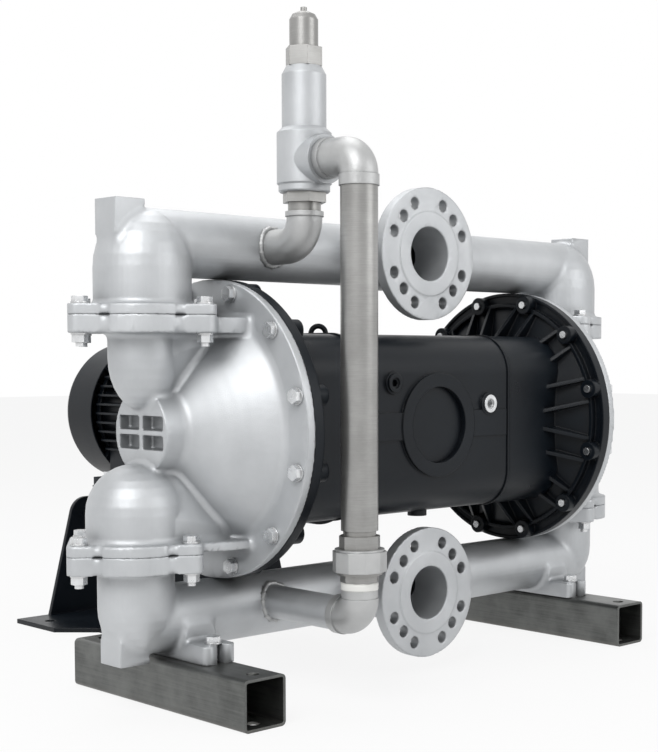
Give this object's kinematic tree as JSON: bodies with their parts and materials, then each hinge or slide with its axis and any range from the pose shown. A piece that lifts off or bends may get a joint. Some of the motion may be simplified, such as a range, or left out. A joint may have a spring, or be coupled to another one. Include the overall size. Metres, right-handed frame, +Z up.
{
  "type": "electric diaphragm pump",
  "caption": "Twin-chamber electric diaphragm pump with geared motor, ball-valve manifolds, flanged ports, relief bypass and square-tube feet.",
  "frame": {"origin": "on the floor, in the middle of the four anchor holes of the two rails", "axes": "+X along the diaphragm shaft, -Y towards the pipe flanges with the motor at +Y, +Z up"},
  "size_m": [1.1316, 0.9721, 0.969],
  "materials": {
    "silver_casting": "satin cast",
    "black_paint": "semi-matte",
    "stainless": "brushed",
    "machined_steel": "machined",
    "zinc": "bright zinc",
    "rubber": "matte",
    "ball_ptfe": "smooth",
    "bush_bronze": "machined",
    "fan_plastic": "moulded"
  },
  "bodies": {
    "pump": {"left_outer_cover": "silver_casting", "right_outer_cover": "silver_casting", "suction_manifold": "silver_casting", "discharge_manifold": "silver_casting", "relief_body": "silver_casting", "left_inner_cover": "black_paint", "right_inner_cover": "black_paint", "gearbox_housing": "black_paint", "front_bearing_cap": "black_paint", "oil_plug": "black_paint", "drain_plug": "black_paint", "lifting_eye": "black_paint", "reducer_housing": "black_paint", "motor_frame": "black_paint", "motor_rear_shield": "black_paint", "fan_cowl": "black_paint", "terminal_box": "black_paint", "motor_bracket": "black_paint", "left_rail": "stainless", "right_rail": "stainless", "relief_elbow": "stainless", "relief_nipple": "stainless", "relief_cap": "stainless", "outlet_elbow": "stainless", "bypass_pipe": "stainless", "union_upper_tail": "stainless", "union_nut": "stainless", "union_lower_tail": "stainless", "return_elbow": "stainless", "suction_seats": "stainless", "discharge_seats": "stainless", "crank_bearings": "machined_steel", "layshaft_bearings": "machined_steel", "motor_bearings": "machined_steel", "motor_stator": "machined_steel", "sight_plug": "zinc", "left_cover_bolts": "zinc", "right_cover_bolts": "zinc", "joint_bolts": "zinc", "foot_bolts": "zinc", "motor_bolts": "zinc", "relief_spring": "zinc", "left_diaphragm": "rubber", "right_diaphragm": "rubber", "rod_bushes": "bush_bronze"},
    "crank": {"crankshaft": "machined_steel", "crank_roller": "machined_steel", "output_gear": "machined_steel"},
    "layshaft_body": {"layshaft": "machined_steel"},
    "rotor": {"motor_rotor": "machined_steel", "cooling_fan": "fan_plastic"},
    "rod": {"diaphragm_yoke": "machined_steel", "inner_plates": "machined_steel", "outer_plates": "machined_steel"},
    "left_suction": {"left_suction_ball": "ball_ptfe"},
    "right_suction": {"right_suction_ball": "ball_ptfe"},
    "left_discharge": {"left_discharge_ball": "ball_ptfe"},
    "right_discharge": {"right_discharge_ball": "ball_ptfe"},
    "relief": {"relief_disc": "stainless"}
  },
  "joints": [
    {"name": "crank_spin", "type": "hinge", "parent": "pump", "child": "crank", "pos_m": [0, 0, 0.384], "axis": [0, 1, 0], "continuous": true},
    {"name": "layshaft_spin", "type": "hinge", "parent": "pump", "child": "layshaft_body", "pos_m": [0, 0, 0.294], "axis": [0, 1, 0], "continuous": true},
    {"name": "motor_spin", "type": "hinge", "parent": "pump", "child": "rotor", "pos_m": [0, 0, 0.384], "axis": [0, 1, 0], "continuous": true},
    {"name": "rod_slide", "type": "slide", "parent": "pump", "child": "rod", "axis": [1, 0, 0], "range_m": [-0.025, 0.025], "deforming": ["left_diaphragm", "right_diaphragm"]},
    {"name": "left_suction_lift", "type": "slide", "parent": "pump", "child": "left_suction", "axis": [0, 0, 1], "range_m": [0, 0.014]},
    {"name": "right_suction_lift", "type": "slide", "parent": "pump", "child": "right_suction", "axis": [0, 0, 1], "range_m": [0, 0.014]},
    {"name": "left_discharge_lift", "type": "slide", "parent": "pump", "child": "left_discharge", "axis": [0, 0, 1], "range_m": [0, 0.014]},
    {"name": "right_discharge_lift", "type": "slide", "parent": "pump", "child": "right_discharge", "axis": [0, 0, 1], "range_m": [0, 0.014]},
    {"name": "relief_lift", "type": "slide", "parent": "pump", "child": "relief", "axis": [0, 0, 1], "range_m": [0, 0.005], "stiffness_N_per_m": 4000, "springref_m": -0.01, "deforming": ["relief_spring"]}
  ],
  "couplings": [
    {"joint": "layshaft_spin", "follows": "crank_spin", "ratio": -3},
    {"joint": "motor_spin", "follows": "crank_spin", "ratio": 9.7059}
  ]
}
